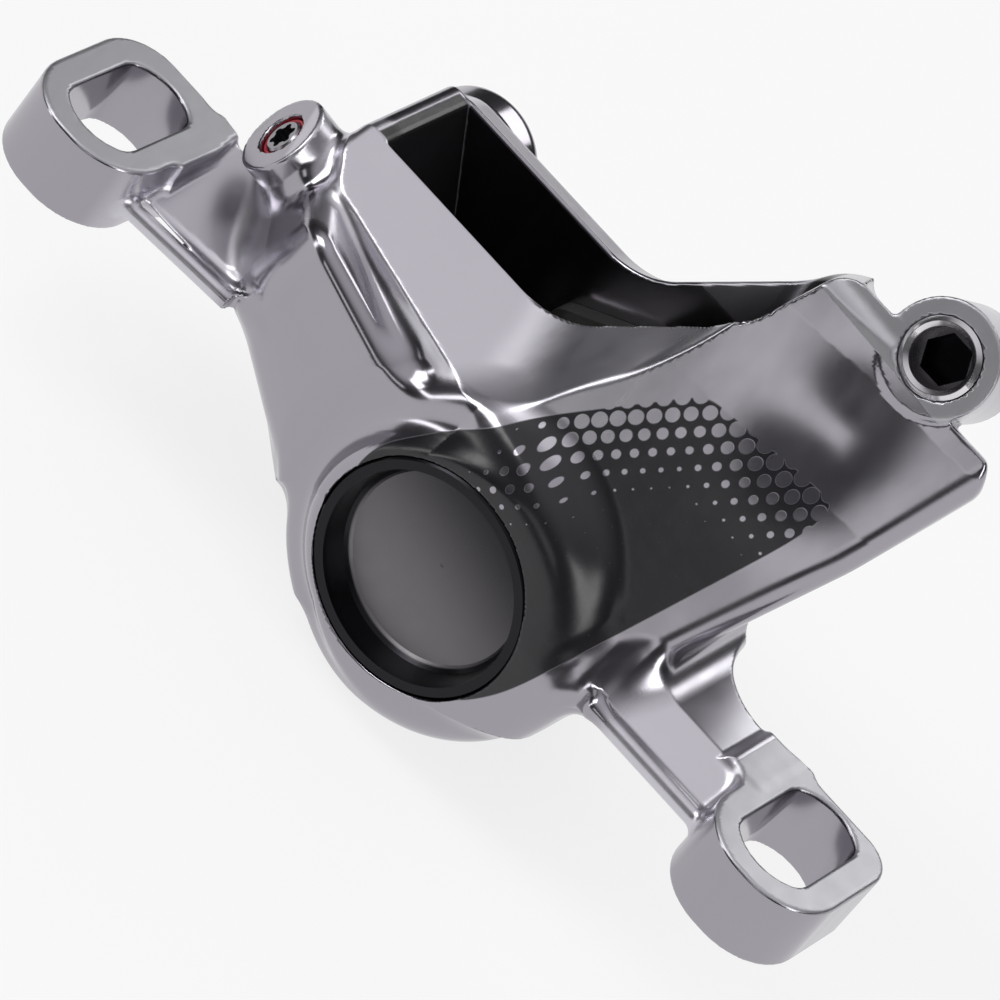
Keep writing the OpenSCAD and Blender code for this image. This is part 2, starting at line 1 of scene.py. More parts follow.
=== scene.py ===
"""Looks of a bicycle disc brake caliper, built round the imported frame.

The forged body is one smooth surface, made from distance fields. Every other piece is the frame's
own solid with a procedural material. X runs along the two lugs, Y along the rotor's axis, from the
cap to the back, and Z is up.
"""
import json
from math import pi, radians

import bpy
import numpy as np
from mathutils import Matrix, Vector


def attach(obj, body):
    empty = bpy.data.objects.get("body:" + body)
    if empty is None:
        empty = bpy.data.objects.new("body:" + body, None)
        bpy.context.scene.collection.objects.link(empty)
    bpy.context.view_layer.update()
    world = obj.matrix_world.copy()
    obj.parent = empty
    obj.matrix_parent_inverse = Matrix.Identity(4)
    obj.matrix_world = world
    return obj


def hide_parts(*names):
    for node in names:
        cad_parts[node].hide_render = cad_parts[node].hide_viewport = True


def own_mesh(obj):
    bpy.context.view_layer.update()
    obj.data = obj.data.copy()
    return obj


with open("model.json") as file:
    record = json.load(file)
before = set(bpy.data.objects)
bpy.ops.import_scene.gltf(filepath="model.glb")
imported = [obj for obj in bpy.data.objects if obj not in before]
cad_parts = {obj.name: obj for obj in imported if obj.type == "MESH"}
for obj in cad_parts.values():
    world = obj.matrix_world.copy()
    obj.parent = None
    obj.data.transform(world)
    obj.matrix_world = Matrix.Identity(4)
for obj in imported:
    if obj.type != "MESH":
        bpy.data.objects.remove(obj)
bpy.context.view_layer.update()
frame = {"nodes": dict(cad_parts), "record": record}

# ---------------------------------------------------------------- distance fields, in millimetres
# A field is negative inside the metal. P is a (3, n) array of points. A plane is given by a point
# on it and its outward normal, an axis along Y by its X and Z.


def unit(v):
    """v drawn to length 1."""
    v = np.asarray(v, float)
    return v / np.linalg.norm(v)


def half(P, point, normal):
    """Half space behind a plane."""
    n = unit(normal)
    return P[0] * n[0] + P[1] * n[1] + P[2] * n[2] - float(np.dot(n, point))


def meet(a, b, r=0.0, turn=0.0):
    """Common part with its edge rounded to radius r. turn is the cosine between the two
    outward normals, 0 for faces at a right angle."""
    if np.isscalar(r) and r == 0:
        return np.maximum(a, b)
    p = a + r
    q = b + r
    corner = (p > turn * q) & (q > turn * p) & (p + q > 0)
    far = np.sqrt(np.maximum(p * p + q * q - 2 * turn * p * q, 0) / (1 - turn * turn))
    return np.where(corner, far, np.maximum(p, q)) - r


def join(a, b, r=0.0, turn=0.0):
    """Union with a fillet of radius r."""
    return -meet(-a, -b, r, turn)


def cut(a, b, r=0.0, turn=0.0):
    """a without b, with the new edge rounded to radius r."""
    return meet(a, -b, r, turn)


def along(P, point, direction):
    """Distance along an axis, and radial distance from it."""
    d = unit(direction)
    q = [P[i] - point[i] for i in range(3)]
    s = q[0] * d[0] + q[1] * d[1] + q[2] * d[2]
    r2 = q[0] ** 2 + q[1] ** 2 + q[2] ** 2 - s ** 2
    return s, np.sqrt(np.maximum(r2, 0))


def rod(P, point, direction, r, s0, s1, edge=0.0):
    """Round bar from s0 to s1 along its axis."""
    s, rad = along(P, point, direction)
    ends = np.maximum(s0 - s, s - s1)
    return meet(rad - r, ends, edge)


def from_axis(P, axis):
    """Distance from an axis along Y."""
    return np.hypot(P[0] - axis[0], P[2] - axis[1])


def cross_rod(P, axis, r, y0, y1, edge):
    """Round bar along Y from y0 to y1."""
    return rod(P, (axis[0], 0, axis[1]), (0, 1, 0), r, y0, y1, edge)


# ---------------------------------------------------------------- sizes of the body, in millimetres
# Axes along Y
BORE = (3.8, -0.3)
HOSE = (-21.2, 8.0)
PIN = (-2.15, 10.23)
ROTOR = (39.25, -62.97)

# Barrel of the outer piston, the cap in it and the bores
HOUSING_R = 13.5
HOUSING_EDGE = 3.4
CAP_FACE = -4.0
CAP_R = 9.35
THREAD_R = 8.95
PISTON_R = 8.04
CAP_SEAT = -2.1
THREAD_END = 0.9
BORE_END = 26

# Pad pocket, from its front wall to its back wall along Y, and the slot of the rotor
POCKET = (8.0, 19.0)
POCKET_EDGE = 0.25
ROTOR_R = 81.5
ROTOR_Y = 13.5
ROTOR_HALF_GAP = 1.7

# Rim of the opening: level, a knee, then rising at a slope in degrees
RIM_Z = 15.9
RIM_SLOPE = 48.6
KNEE_X = -3.2
KNEE_R = 8

# Plate in front of the rim: its fall per millimetre of depth, which grows as the rim rises
PLATE_FALL = 0.466
PLATE_TWIST = 0.013
TWIST_START = -1
STEEPEST_FALL = 1.2
PLATE_DRIFT = 0.35
PLATE_END = 10.2

# Crest right of the opening
CREST_TOP = ((12, 11, 36.1), (0, 0.55, 0.83))
CREST_LEFT = ((7.9, 8, 28.2), (-1, 0, 0.3))
CREST_RIGHT = ((16.2, 12, 34), (1, 0.1, 0.25))
CREST_LOW = ((20, 12, 32.7), (0, 0.55, 0.83))

# Front: the panel, the face round the cap, and two soft forms of the panel, by their middle in X
# and Z, their spread and their depth. The swell leaves the panel's middle standing out.
PANEL_POINT = (19.2, 13.0, 35.2)
PANEL_WAY = (0.1, -0.88, 0.45)
SWELL_AT = (16, 22)
SWELL_SPREAD = 90
SWELL = 0.45
SWELL_TOP = 31
DENT_AT = (17.6, 26.2)
DENT_SPREAD = 22
DENT = 0.7
FRONT_Y = -4.2

# Hollow that runs round the barrel like a ring, and the valley beside the spur
RING_WAY = (0.05, -0.97, 0.15)
RING_R = 14.6
RING_HOLLOW_R = 3.6
VALLEY_R = 12.9
VALLEY_HOLLOW_R = 2.6

# Outer block's ends and lower sides
WALL_BY_SPUR = ((-14.73, 1.64, 0), (-0.186, -0.983, 0))
WALL_BY_ARM = ((-22.76, 4.33, 0), (-0.74, -0.67, 0))
LEFT_END = ((-24.3, 0, 0), (-1, 0, 0))
LOW_LEFT = ((-21.9, 0, 0.4), (-0.557, 0, -0.83))
LOW = ((-3.8, 0, -10.8), (0.311, 0, -0.95))
LOW_RIGHT = ((19.7, 0, 4), (16, 0, -5.8))
UP_RIGHT = ((25.5, 0, 20), (11, 0, -2.9))
BLEED_CORNER = ((27.29, 12, 32.72), (0.846, 0.4, 0.354))

# Spur between the plug's boss and the valley
SPUR_AXIS = ((-13.4, 13.0, 6.2), (0.8, -0.02, -0.6))
SPUR_R = 16
SPUR_LOW = ((-21.9, 0, 0.6), (-0.557, -0.15, -0.83))
SPUR_RIDGE = ((-12.5, -2.2, 11.3), (0.3, 0.25, 0.92))
SPUR_END = ((-21.9, -1.0, 5.0), (-0.75, -0.49, 0.15))
SPUR_RIGHT = ((-6.0, 0, 8.0), (0.85, 0, 0.5))

# Inner half, behind the pocket
INNER_LEVEL = ((0, 19, RIM_Z), (0, 0.33, 0.94))
INNER_UP_RIGHT = ((24.2, 0, 22), (0.94, 0, -0.28))
INNER_LOW_RIGHT = ((20.2, 0, 8), (0.95, 0, -0.3))
INNER_CREST = ((10, 19, 29.0), (0.25, 0.33, 0.94))
INNER_LEFT = ((-24, 0, 0), (-1, 0, 0))
INNER_LOW_LEFT = ((-23, 0, 5), (-0.621, 0, -0.783))
INNER_BOTTOM = -12.6

# Bleed port, plug and the step beside the face round the bleed port
BLEED = np.array([19.2, 13.0, 35.2])
BLEED_AXIS = unit([0, -0.891, 0.454])
PLUG = np.array([-27.9, 4.8, 11.5])
PLUG_AXIS = unit([-0.75, -0.49, 0.43])
STEP_POINT = (13.6, 11.7, 32.66)
STEP_WAY = (-0.06, -0.454, -0.89)

# Lugs
LUG_X = 37.0
LUG_TOP = 6.5
SLOT_R = 4.0
SLOT_HALF_TRAVEL = 1.5
SLOT_HALF_WIDTH = 3.3


def under_side(P):
    """Lower right side of the body, drawn in X and Z."""
    return meet(half(P, *LOW_RIGHT), half(P, *UP_RIGHT), 20, 0.996)


def rim_outline(x, z):
    """Level rim of the opening, its knee and its rising part."""
    rise = radians(RIM_SLOPE)
    level = z - RIM_Z
    rising = (x - KNEE_X) * -np.sin(rise) + (z - RIM_Z) * np.cos(rise)
    return join(level, rising, KNEE_R, 0.661)


def top_side(P):
    """Plate in front of the rim: it falls away from the rim, and more steeply as it rises."""
    x, y, z = P
    depth = np.maximum(POCKET[0] - y, 0)
    across = x - PLATE_DRIFT * depth
    fall = PLATE_FALL + PLATE_TWIST * np.maximum(across - TWIST_START, 0) ** 2
    fall = np.minimum(fall, STEEPEST_FALL)
    lifted = z + fall * depth
    f = rim_outline(across, lifted)
    steep = (rim_outline(across, lifted + 0.01) - f) / 0.01
    return f / np.sqrt(1 + (steep * fall) ** 2)


def spur(P):
    """Rounded spur on the left that runs from the plug's boss to the valley round the barrel."""
    s, rad = along(P, *SPUR_AXIS)
    body = meet(rad - SPUR_R, half(P, *SPUR_LOW), 4.0, 0.3)
    body = meet(body, half(P, *SPUR_RIDGE), 1.6, 0.1)
    body = meet(body, half(P, *SPUR_END), 2.2)
    body = meet(body, half(P, *SPUR_RIGHT), 2.5, 0.3)
    return np.maximum(body, np.maximum(s - 10, P[1] - 6))


def crest(P):
    """Part of the body right of the opening, which stands higher than the rising plate."""
    top = meet(half(P, *CREST_TOP), half(P, *CREST_LEFT), 2.5, 0.24)
    side = join(half(P, *CREST_RIGHT), half(P, *CREST_LOW), 1.0, 0.2)
    return meet(top, side, 1.2, 0.2)


def front_side(P, under):
    """Panel with its swell and dent, the face round the cap and the hollow between the two."""
    x, _, z = P
    swell = 1 - np.exp(-((x - SWELL_AT[0]) ** 2 + (z - SWELL_AT[1]) ** 2) / SWELL_SPREAD)
    dent = np.exp(-((x - DENT_AT[0]) ** 2 + (z - DENT_AT[1]) ** 2) / DENT_SPREAD)
    panel = half(P, PANEL_POINT, PANEL_WAY)
    panel = panel + SWELL * swell * np.clip((SWELL_TOP - z) / 8, 0, 1) + DENT * dent
    front = meet(panel, half(P, (0, FRONT_Y, 0), (0, -1, 0)), 6, 0.886)
    s, rad = along(P, (BORE[0], FRONT_Y, BORE[1]), RING_WAY)
    ring = np.hypot(s - 2.3, rad - RING_R) - RING_HOLLOW_R
    ring = meet(ring, under + 3.4, 1.5) + 0.8 * np.maximum(1.5 - x, 0)
    front = cut(front, ring, 2.0, 0.6)
    left_wall = meet(half(P, *WALL_BY_SPUR), half(P, *WALL_BY_ARM), 3.0, 0.796)
    return meet(front, left_wall, 1.5, 0.9)


def outer_block(P):
    """Everything in front of the pocket's back wall, without the spur and the barrel."""
    x, y, _ = P
    under = under_side(P)
    upper = join(np.maximum(top_side(P), x - PLATE_END), crest(P), 1.5)
    block = meet(meet(upper, front_side(P, under), 0.8, 0.7), under, 2.0)
    block = meet(block, meet(half(P, *LEFT_END), half(P, *LOW_LEFT), 5, 0.557), 1.0)
    block = meet(block, half(P, *LOW))
    block = meet(block, half(P, *BLEED_CORNER), 1.5, 0.6)
    return meet(block, y - POCKET[1] - 0.5, 0.3)


def valley(P):
    """Groove between the spur and the collar round the cap, which runs out to the right."""
    groove = np.hypot(P[1] + 4.5, from_axis(P, BORE) - VALLEY_R) - VALLEY_HOLLOW_R
    return groove + 0.25 * np.maximum(P[0] + 1.5, 0)


def inner_half(P):
    """Wall behind the pocket."""
    _, y, z = P
    rise = radians(RIM_SLOPE)
    rising = half(P, (KNEE_X, 19, RIM_Z), (-np.sin(rise), 0.33, np.cos(rise)))
    rim = join(half(P, *INNER_LEVEL), rising, KNEE_R, 0.7)
    right = meet(half(P, *INNER_UP_RIGHT), half(P, *INNER_LOW_RIGHT), 5, 0.999)
    inner = meet(meet(rim, right, 2), half(P, *INNER_CREST), 2)
    inner = meet(inner, half(P, *INNER_LEFT), 2.5)
    inner = meet(inner, half(P, *INNER_LOW_LEFT), 3)
    inner = meet(inner, INNER_BOTTOM - z, 2)
    return meet(inner, np.maximum(POCKET[1] - 0.5 - y, y - POCKET[1] - 4.2), 1.2)


def body_field(P):
    """The whole forged body."""
    toward = np.clip((P[0] + 17) / 9, 0, 1)
    fillet = 1.3 + 2.4 * toward * toward * (3 - 2 * toward)
    body = join(outer_block(P), spur(P), fillet, 0.2)
    # Barrels of both pistons
    body = join(body, cross_rod(P, BORE, HOUSING_R, CAP_FACE, 12, HOUSING_EDGE), 2.2)
    body = cut(body, valley(P), 1.6, 0.3)
    body = join(body, inner_half(P), 0.4)
    body = join(body, cross_rod(P, BORE, HOUSING_R - 1, 15, 28.65, 3.0), 1.6)
    # Bosses of the bleed port, the plug, the hose and the pad pin
    body = join(body, rod(P, BLEED, BLEED_AXIS, 4.5, -9, 0.0, 0.25), 0.5)
    bleed_face = meet(-half(P, BLEED, BLEED_AXIS), half(P, STEP_POINT, STEP_WAY), 2)
    body = cut(body, bleed_face, 0.15)
    body = join(body, rod(P, PLUG, PLUG_AXIS, 3.65, -8, 0, 0.3), 1.5)
    body = join(body, cross_rod(P, HOSE, 5.4, 14, 27.65, 1.5), 1.5)
    body = join(body, cross_rod(P, PIN, 4, 19, 24.4, 0.5), 1.0)
    # Arms and lugs
    body = join(body, left_arm(P), 1.8)
    body = join(body, right_arm(P), 3.2)
    body = join(body, lug(P, -1, 7.7, 5.65), 0.8)
    body = join(body, lug(P, 1, 6.3, 7.8), 0.8)
    return cuts(P, body)


def left_arm(P):
    """Panel that slopes down to a bead along its front edge."""
    x, y, z = P
    bead_y = -4.2 + 0.12 * (x + 37)
    slope = half(P, (0, 7.7, 5.9), (0, -0.25, 0.968))
    below = meet(-z, half(P, (0, 2.4, 0), (0, -0.6, -0.85)), 0.8, 0.8)
    arm = meet(slope, below, 0.3)
    arm = meet(arm, bead_y + 0.4 - y, 0.3)
    arm = meet(arm, np.maximum(np.maximum(-32.6 - x, x + 18), y - 7.7), 0.4)
    groove = np.hypot(y - bead_y - 1.25, z - 3.9) - 0.5
    arm = cut(arm, np.maximum(groove, -30.5 - x), 0.2)
    bead = np.hypot(y - bead_y, z - 2.75) - 0.75
    return join(arm, np.maximum(bead, np.maximum(-33 - x, x + 21)), 0.25)


def right_arm(P):
    """Level top with a recessed panel beside its bead, and a curved front end."""
    x, y, z = P
    flat = half(P, (0, 0.6, 6.1), (0, 0, 1))
    dish = half(P, (0, 0.6, 6.1), (0, -0.5, 0.866))
    below = meet(-z, half(P, (0, 0.8, 0), (0, -0.6, -0.85)), 0.8, 0.8)
    arm = meet(meet(flat, dish, 0.5, 0.866), below, 0.3)
    arm = meet(arm, -3.2 - y, 0.3)
    arm = join(arm, np.hypot(y + 3.55, z - 3.4) - 0.8, 0.3)
    arm = meet(arm, np.maximum(np.maximum(19.7 - x, x - 32.6), y - 12), 0.5)
    return cut(arm, meet(22.1 - x, 6.3 - y, 6.5), 0.3)


def lug(P, side, back, flange_end):
    """One lug. side is -1 for the left one, and u runs from the bolt's axis towards the body."""
    x, y, z = P
    u = LUG_X - side * x
    main = meet(np.maximum(-5.9 - u, u - 5.7), -7.8 - y, 5.4)
    main = meet(main, y - back, back - 3.4)
    flange = np.maximum(np.maximum(4.0 - u, u - flange_end), np.maximum(0.6 - y, y - back))
    main = join(main, flange, 2.0)
    return meet(main, np.maximum(z - LUG_TOP, -z), 0.35)


def slot_hole(P, side):
    """Bolt slot of one lug: a long hole along Y whose sides are cut flat."""
    u = side * P[0] - LUG_X
    y = P[1]
    ends = np.minimum(np.hypot(u, y - SLOT_HALF_TRAVEL), np.hypot(u, y + SLOT_HALF_TRAVEL)) - SLOT_R
    middle = np.maximum(np.abs(u) - SLOT_R, np.abs(y) - SLOT_HALF_TRAVEL)
    return meet(np.minimum(ends, middle), np.abs(u) - SLOT_HALF_WIDTH, 0.4)


def pad_pocket(P):
    """Opening for the pads, with its rounded mouth at the upper right."""
    x, y, z = P
    left = half(P, (-22.6, 0, 16.9), (-0.868, 0, -0.496))
    right = half(P, (9.15, 0, 19.38), (0.870, 0, 0.492))
    between = np.maximum(POCKET[0] - y, y - POCKET[1])
    mouth = meet(np.maximum(x - 8.6, 20 - z), between, 2.4)
    return np.maximum(left, np.minimum(np.maximum(right, between), mouth))


def cuts(P, body):
    """The body without its pocket, its bores and its slots."""
    y = P[1]
    body = cut(body, pad_pocket(P), POCKET_EDGE)
    rotor = np.maximum(from_axis(P, ROTOR) - ROTOR_R, np.abs(y - ROTOR_Y) - ROTOR_HALF_GAP)
    body = cut(body, rotor, 0.2)
    # Cap and pistons
    around = from_axis(P, BORE)
    body = cut(body, np.maximum(around - CAP_R, y - CAP_SEAT), 0.2)
    body = cut(body, np.maximum(around - THREAD_R, y - THREAD_END), 0.1)
    body = cut(body, np.maximum(around - PISTON_R, np.maximum(THREAD_END - y, y - BORE_END)), 0.1)
    # Hose, bleed screw, plug and pad pin with its counterbore
    body = cut(body, np.maximum(from_axis(P, HOSE) - 3.0, 19.65 - y), 0.3)
    body = cut(body, rod(P, BLEED, BLEED_AXIS, 3.15, -6.7, 4), 0.1)
    body = cut(body, rod(P, PLUG, PLUG_AXIS, 1.9, -4.3, 4), 0.15)
    pin = from_axis(P, PIN)
    body = cut(body, np.maximum(pin - 1.55, np.maximum(5.4 - y, y - 24)), 0.1)
    body = cut(body, np.maximum(pin - 2.6, 21.8 - y), 0.1)
    body = cut(body, slot_hole(P, -1), 0.3)
    return cut(body, slot_hole(P, 1), 0.3)


# ---------------------------------------------------------------- surface of a field
# Grid cells along one edge of a block, a little over half of a cube's diagonal, how many points
# and blocks are worked on at a time, and how often the points are moved towards the surface
BLOCK = 8
HALF_DIAGONAL = 0.875
POINTS_AT_A_TIME = 400000
BLOCKS_AT_A_TIME = 512
MOVES = 3


def gradient(field, P, e=0.01):
    """Slope of a field along X, Y and Z, measured over twice e."""
    g = np.empty_like(P)
    for i in range(3):
        d = np.zeros((3, 1))
        d[i] = e
        g[i] = field(P + d) - field(P - d)
    return g / (2 * e)


def in_chunks(function, P):
    """function(P), worked out in parts to save memory."""
    starts = range(0, P.shape[1], POINTS_AT_A_TIME)
    return np.concatenate([function(P[:, i:i + POINTS_AT_A_TIME]) for i in starts], axis=-1)


def box_of_indices(count):
    """Indices of a box of cells, as a (3, n) array."""
    return np.stack(np.meshgrid(*[np.arange(c) for c in count], indexing="ij")).reshape(3, -1)


def sampled(field, low, high, step):
    """Field values on a grid. Blocks far from the surface only get their sign."""
    count = np.ceil((np.asarray(high) - low) / (step * BLOCK)).astype(int)
    blocks = box_of_indices(count)
    middle = low[:, None] + (blocks + 0.5) * step * BLOCK
    near = in_chunks(field, middle)
    reach = step * BLOCK * HALF_DIAGONAL + step
    grid = np.ones(tuple(count * BLOCK + 1), np.float32)
    for c in blocks[:, (near < 0) & (np.abs(near) > reach)].T * BLOCK:
        grid[c[0]:c[0] + BLOCK, c[1]:c[1] + BLOCK, c[2]:c[2] + BLOCK] = -1
    active = blocks[:, np.abs(near) <= reach].T * BLOCK
    cell = box_of_indices((BLOCK, BLOCK, BLOCK))
    for start in range(0, len(active), BLOCKS_AT_A_TIME):
        part = active[start:start + BLOCKS_AT_A_TIME]
        index = (part[:, :, None] + cell[None]).transpose(1, 0, 2).reshape(3, -1)
        grid[index[0], index[1], index[2]] = field(low[:, None] + index * step)
    return grid


def mixed_cells(sign):
    """Cells that have corners on both sides of the surface, and the number of each on a grid."""
    shape = sign.shape
    total = np.zeros(tuple(s - 1 for s in shape), np.int8)
    for i, j, k in box_of_indices((2, 2, 2)).T:
        total += sign[i:shape[0] - 1 + i, j:shape[1] - 1 + j, k:shape[2] - 1 + k]
    cells = np.argwhere((total > 0) & (total < 8))
    number = -np.ones(total.shape, np.int32)
    number[tuple(cells.T)] = np.arange(len(cells))
    return cells, number


def other_axes(axis):
    """The two axes besides this one."""
    return [a for a in range(3) if a != axis]


def crossings(grid, cells):
    """Mean of the surface's crossings on the twelve edges of each cell, in steps of the grid."""
    points = np.zeros((len(cells), 3))
    hits = np.zeros(len(cells))
    for axis in range(3):
        u, v = other_axes(axis)
        for p in (0, 1):
            for q in (0, 1):
                a = cells.copy()
                a[:, u] += p
                a[:, v] += q
                b = a.copy()
                b[:, axis] += 1
                at_a = grid[tuple(a.T)]
                at_b = grid[tuple(b.T)]
                crossing = (at_a < 0) != (at_b < 0)
                t = np.where(crossing, at_a / np.where(crossing, at_a - at_b, 1), 0)
                points += np.where(crossing[:, None], a + (b - a) * t[:, None], 0)
                hits += crossing
    return points / hits[:, None]


def quads(sign, number):
    """One quad round each grid edge that the surface crosses, facing outwards."""
    shape = sign.shape
    faces = []
    for axis in range(3):
        u, v = other_axes(axis)
        size = list(shape)
        size[axis] -= 1
        first = [slice(0, s) for s in size]
        second = list(first)
        second[axis] = slice(1, size[axis] + 1)
        edges = np.argwhere(sign[tuple(first)] != sign[tuple(second)])
        keep = (edges[:, u] > 0) & (edges[:, v] > 0)
        keep &= (edges[:, u] < shape[u] - 1) & (edges[:, v] < shape[v] - 1)
        edges = edges[keep]
        ring = []
        for p, q in ((1, 1), (0, 1), (0, 0), (1, 0)):
            c = edges.copy()
            c[:, u] -= p
            c[:, v] -= q
            ring.append(number[tuple(c.T)])
        quad = np.stack(ring, axis=1)
        outward = sign[tuple(edges.T)]
        if axis == 1:
            outward = ~outward
        quad[~outward] = quad[~outward][:, ::-1]
        faces.append(quad)
    return np.concatenate(faces)


def surface(field, low, high, step):
    """Points, quads and normals of the zero level of a field. Each mixed cell of the grid gets one
    point, which is moved onto the surface."""
    low = np.asarray(low, float)
    grid = sampled(field, low, high, step)
    sign = grid < 0
    cells, number = mixed_cells(sign)
    points = crossings(grid, cells).T * step + low[:, None]
    for _ in range(MOVES):
        value = in_chunks(field, points)
        g = in_chunks(lambda Q: gradient(field, Q), points)
        slope = np.maximum((g ** 2).sum(0), 0.05)
        points -= g * np.clip(value / slope, -0.5 * step, 0.5 * step)
    normals = in_chunks(lambda Q: gradient(field, Q, 0.02), points)
    normals /= np.maximum(np.linalg.norm(normals, axis=0), 1e-6)
    return points.T, quads(sign, number), normals.T


def mesh_object(name, points, faces, normals):
    """Smooth object from points in millimetres, quads and the normals at the points."""
    mesh = bpy.data.meshes.new(name)
    mesh.vertices.add(len(points))
    mesh.vertices.foreach_set("co", (points * 0.001).astype(np.float32).ravel())
    mesh.loops.add(faces.size)
    mesh.loops.foreach_set("vertex_index", faces.astype(np.int32).ravel())
    mesh.polygons.add(len(faces))
    mesh.polygons.foreach_set("loop_start", np.arange(0, faces.size, 4, dtype=np.int32))
    mesh.polygons.foreach_set("use_smooth", np.ones(len(faces), bool))
    mesh.update(calc_edges=True)
    mesh.validate()
    mesh.normals_split_custom_set_from_vertices(normals.astype(np.float32))
    obj = bpy.data.objects.new(name, mesh)
    bpy.context.scene.collection.objects.link(obj)
    return obj


# ---------------------------------------------------------------- materials


class Field:
    """A value in a shader's node tree, so that masks read as formulas."""

    def __init__(self, tree, socket):
        self.tree = tree
        self.socket = socket

    def math(self, operation, *others):
        node = self.tree.nodes.new("ShaderNodeMath")
        node.operation = operation
        for place, value in enumerate((self, *others)):
            if isinstance(value, Field):
                self.tree.links.new(value.socket, node.inputs[place])
            else:
                node.inputs[place].default_value = value
        return Field(self.tree, node.outputs[0])

    def __add__(self, other):
        return self.math("ADD", other)

    def __sub__(self, other):
        return self.math("SUBTRACT", other)

    def __mul__(self, other):
        return self.math("MULTIPLY", other)

    def absolute(self):
        return self.math("ABSOLUTE")

    def root(self):
        return self.math("SQRT")

    def squared(self):
        return self.math("POWER", 2)

    def least(self, other):
        return self.math("MINIMUM", other)

    def most(self, other):
        return self.math("MAXIMUM", other)

    def below(self, limit, soft):
        """1 below the limit and 0 above it, over a soft width."""
        node = self.tree.nodes.new("ShaderNodeMapRange")
        node.interpolation_type = "SMOOTHSTEP"
        self.tree.links.new(self.socket, node.inputs["Value"])
        node.inputs["From Min"].default_value = limit - soft
        node.inputs["From Max"].default_value = limit + soft
        node.inputs["To Min"].default_value = 1
        node.inputs["To Max"].default_value = 0
        return Field(self.tree, node.outputs["Result"])

    def above(self, limit, soft):
        """1 above the limit and 0 below it, over a soft width."""
        return (self * -1).below(-limit, soft)

    def inverse(self):
        """1 where a mask is 0, and 0 where it is 1."""
        return self * -1 + 1


def shader(name, colour, metallic, roughness):
    """Material with its node tree and its shader node."""
    m = bpy.data.materials.new(name)
    m.use_nodes = True
    node = m.node_tree.nodes["Principled BSDF"]
    node.inputs["Base Color"].default_value = (*colour, 1)
    node.inputs["Metallic"].default_value = metallic
    node.inputs["Roughness"].default_value = roughness
    return m, m.node_tree, node


def place_in(tree):
    """X, Y and Z of the shaded point in millimetres."""
    coordinates = tree.nodes.new("ShaderNodeTexCoord")
    split = tree.nodes.new("ShaderNodeSeparateXYZ")
    tree.links.new(coordinates.outputs["Object"], split.inputs[0])
    return [Field(tree, split.outputs[i]) * 1000 for i in range(3)]


def distance(u, w):
    """Distance of the point (u, w) from zero, as a shader value."""
    return (u.squared() + w.squared()).root()


def over_plane(place, point, normal):
    """Height over a plane, as a shader value."""
    x, y, z = place
    n = unit(normal)
    return x * n[0] + y * n[1] + z * n[2] - float(np.dot(n, point))


def noise(tree, scale, detail, stretch=(1, 1, 1)):
    """Noise texture in object space. A stretch under 1 draws it out along that axis."""
    coordinates = tree.nodes.new("ShaderNodeTexCoord")
    mapping = tree.nodes.new("ShaderNodeMapping")
    mapping.inputs["Scale"].default_value = stretch
    texture = tree.nodes.new("ShaderNodeTexNoise")
    texture.inputs["Scale"].default_value = scale
    texture.inputs["Detail"].default_value = detail
    tree.links.new(coordinates.outputs["Object"], mapping.inputs["Vector"])
    tree.links.new(mapping.outputs["Vector"], texture.inputs["Vector"])
    return Field(tree, texture.outputs["Fac"])


def bump(tree, node, height, distance):
    """Fine relief of the given depth in millimetres."""
    relief = tree.nodes.new("ShaderNodeBump")
    relief.inputs["Strength"].default_value = 1
    relief.inputs["Distance"].default_value = distance * 0.001
    tree.links.new(height.socket, relief.inputs["Height"])
    tree.links.new(relief.outputs["Normal"], node.inputs["Normal"])


def blend(tree, mask, low, high):
    """Colour that is low where the mask is 0 and high where it is 1. low may be a socket."""
    node = tree.nodes.new("ShaderNodeMix")
    node.data_type = "RGBA"
    factor, colour_a, colour_b = (node.inputs[i] for i in (0, 6, 7))
    tree.links.new(mask.socket, factor)
    if isinstance(low, tuple):
        colour_a.default_value = (*low, 1)
    else:
        tree.links.new(low, colour_a)
    colour_b.default_value = (*high, 1)
    return node.outputs[2]


def grained(name, colour, metallic, roughness, scale, relief, spread=0.08):
    """Plain material with a fine grain in its roughness and relief."""
    m, tree, node = shader(name, colour, metallic, roughness)
    grain = noise(tree, scale, 4)
    tree.links.new((grain * spread + (roughness - spread / 2)).socket, node.inputs["Roughness"])
    bump(tree, node, grain, relief)
    return m


# Colours of the body's metal and paint, and the black of painted shade for the walls of the pad
# pocket
POLISHED = (0.36, 0.345, 0.38)
SATIN = (0.60, 0.585, 0.63)
MACHINED = (0.50, 0.50, 0.525)
PAINT = (0.012, 0.011, 0.014)
POCKET_SHADE_BLACK = (0.010, 0.010, 0.011)

# Corners of the black panel, in X and Z, its dots and the two edges that the dots grow towards
PANEL_EDGE = [(-5.1, 1.8), (-5.1, 5.2), (-3.3, 8.3), (3.0, 15.9), (9.31, 23.0), (21.5, 23.4),
              (21.85, 20.2), (17.3, 6.8), (14.9, -0.9), (11.7, -5.4)]
PANEL_ROUNDING = 1.6
DOT_PITCH = 1.25
LARGEST_DOT = 0.46
DOT_EDGE = ((0.24, 10.73), (9.31, 23.0))
DOT_EDGE_Z = 23.25


def edge_distance(x, z, a, b):
    """Distance to the left of the line from a to b."""
    dx = b[0] - a[0]
    dz = b[1] - a[1]
    size = (dx * dx + dz * dz) ** 0.5
    return x * (-dz / size) + z * (dx / size) + (a[0] * dz - a[1] * dx) / size


def panel_outline(x, z):
    """Negative inside the outline of the black panel."""
    inside = edge_distance(x, z, PANEL_EDGE[-1], PANEL_EDGE[0])
    for a, b in zip(PANEL_EDGE, PANEL_EDGE[1:]):
        inside = inside.math("SMOOTH_MAX", edge_distance(x, z, a, b), PANEL_ROUNDING)
    return inside


